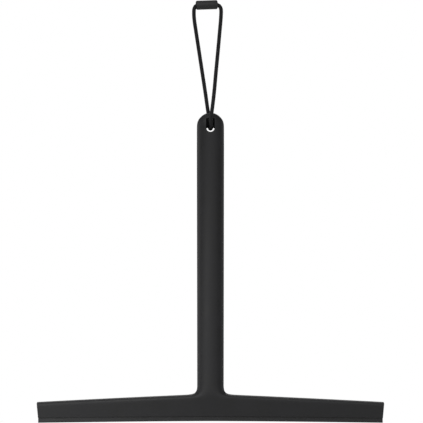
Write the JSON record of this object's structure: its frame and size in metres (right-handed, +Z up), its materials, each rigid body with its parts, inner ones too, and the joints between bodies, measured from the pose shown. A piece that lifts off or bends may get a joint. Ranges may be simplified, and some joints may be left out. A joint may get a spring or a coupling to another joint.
{
  "type": "window cleaning squeegee",
  "caption": "Window squeegee with a long oval handle, a wide shallow head in one soft skin, a wiping lip, and a hanging loop of cord through a hole in the handle's round end.",
  "frame": {"origin": "the hanging point: the underside of the loop's sleeve, straight above the handle's axis, where a hook holds the loop", "axes": "+X along the head to the right, +Y from the front face to the back, +Z up along the handle"},
  "size_m": [0.2798, 0.0174, 0.3414],
  "materials": {
    "skin": "soft matte black silicone",
    "core": "as moulded dark nylon",
    "steel": "zinc plated",
    "lip": "satin black silicone",
    "cord": "round black braid",
    "sleeve": "matte moulded rubber",
    "crimp": "bare crimped tube"
  },
  "bodies": {
    "hanging_loop": {"cord_sleeve": "sleeve", "cord_crimp": "crimp", "cord_strand_front": "cord", "cord_strand_rear": "cord"},
    "squeegee": {"silicone_skin": "skin", "core_front": "core", "core_rear": "core", "handle_bar": "steel", "head_strip": "steel", "core_screw_1": "steel", "core_screw_2": "steel", "core_screw_3": "steel", "core_screw_4": "steel", "core_screw_5": "steel", "core_screw_6": "steel", "wiper_blade": "lip", "cord_turn": "cord"}
  },
  "joints": [
    {"name": "loop_swing", "type": "hinge", "parent": "hanging_loop", "child": "squeegee", "pos_m": [0, 0, -0.0836], "axis": [0, 1, 0], "range_deg": [-90, 90], "deforming": ["cord_turn"]}
  ]
}
